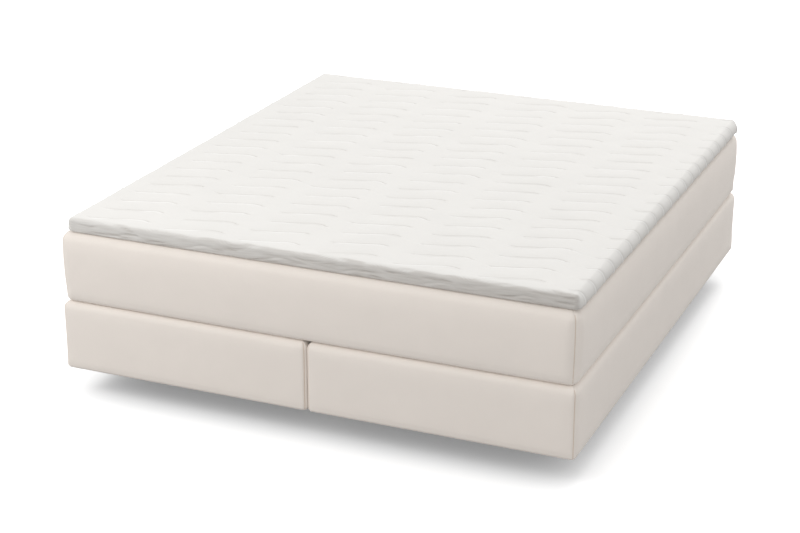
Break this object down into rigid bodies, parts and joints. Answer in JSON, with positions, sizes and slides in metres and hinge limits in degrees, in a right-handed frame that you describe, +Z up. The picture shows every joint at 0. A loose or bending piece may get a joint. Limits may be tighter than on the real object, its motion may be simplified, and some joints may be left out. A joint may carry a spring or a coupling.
{
  "type": "box spring bed",
  "caption": "Low box spring bed without headboard: twin upholstered base boxes on hidden legs, a one-piece mattress and a thin quilted topper with wave stitching.",
  "frame": {"origin": "on the floor, under the middle of the bed's overall box", "axes": "+X to the right when seen from the foot end, +Y along the bed from the foot end to the head end, +Z up"},
  "size_m": [1.796, 1.998, 0.6366],
  "materials": {
    "base_cover_fabric": "matte",
    "mattress_cover_fabric": "matte",
    "quilted_topper_fabric": "matte",
    "lining_fabric": "matte",
    "dust_cover_cloth": "matte",
    "foam": "matte",
    "pocket_spring_cloth": "matte",
    "frame_timber": "matte",
    "slat_timber": "matte",
    "leg_plastic": "satin",
    "glide_plastic": "matte",
    "plate_steel": "satin"
  },
  "bodies": {
    "base": {"left_cover": "base_cover_fabric", "left_dust_cover": "dust_cover_cloth", "left_side_rail_outer": "frame_timber", "left_side_rail_inner": "frame_timber", "left_foot_rail": "frame_timber", "left_head_rail": "frame_timber", "left_leg_bearer_foot": "frame_timber", "left_leg_bearer_head": "frame_timber", "left_slat_1": "slat_timber", "left_slat_2": "slat_timber", "left_slat_3": "slat_timber", "left_slat_4": "slat_timber", "left_spring_unit": "pocket_spring_cloth", "left_edge_foam": "foam", "left_top_pad": "foam", "left_leg_foot_outer": "leg_plastic", "left_glide_foot_outer": "glide_plastic", "left_leg_foot_inner": "leg_plastic", "left_glide_foot_inner": "glide_plastic", "left_leg_head_outer": "leg_plastic", "left_glide_head_outer": "glide_plastic", "left_leg_head_inner": "leg_plastic", "left_glide_head_inner": "glide_plastic", "right_cover": "base_cover_fabric", "right_dust_cover": "dust_cover_cloth", "right_side_rail_outer": "frame_timber", "right_side_rail_inner": "frame_timber", "right_foot_rail": "frame_timber", "right_head_rail": "frame_timber", "right_leg_bearer_foot": "frame_timber", "right_leg_bearer_head": "frame_timber", "right_slat_1": "slat_timber", "right_slat_2": "slat_timber", "right_slat_3": "slat_timber", "right_slat_4": "slat_timber", "right_spring_unit": "pocket_spring_cloth", "right_edge_foam": "foam", "right_top_pad": "foam", "right_leg_foot_outer": "leg_plastic", "right_glide_foot_outer": "glide_plastic", "right_leg_foot_inner": "leg_plastic", "right_glide_foot_inner": "glide_plastic", "right_leg_head_outer": "leg_plastic", "right_glide_head_outer": "glide_plastic", "right_leg_head_inner": "leg_plastic", "right_glide_head_inner": "glide_plastic", "coupling_plate_foot": "plate_steel", "coupling_plate_head": "plate_steel"},
    "mattress": {"mattress_cover": "mattress_cover_fabric", "mattress_base_panel": "lining_fabric", "mattress_lower_layer": "foam", "mattress_edge_foam": "foam", "mattress_spring_core": "pocket_spring_cloth", "mattress_comfort_layer": "foam"},
    "topper": {"topper_cover": "quilted_topper_fabric", "topper_lower_panel": "lining_fabric", "topper_core": "foam"}
  },
  "joints": [
    {"name": "mattress_lift", "type": "slide", "parent": "base", "child": "mattress", "axis": [0, 0, 1], "range_m": [0, 0.3]},
    {"name": "topper_lift", "type": "slide", "parent": "mattress", "child": "topper", "axis": [0, 0, 1], "range_m": [0, 0.2]}
  ]
}
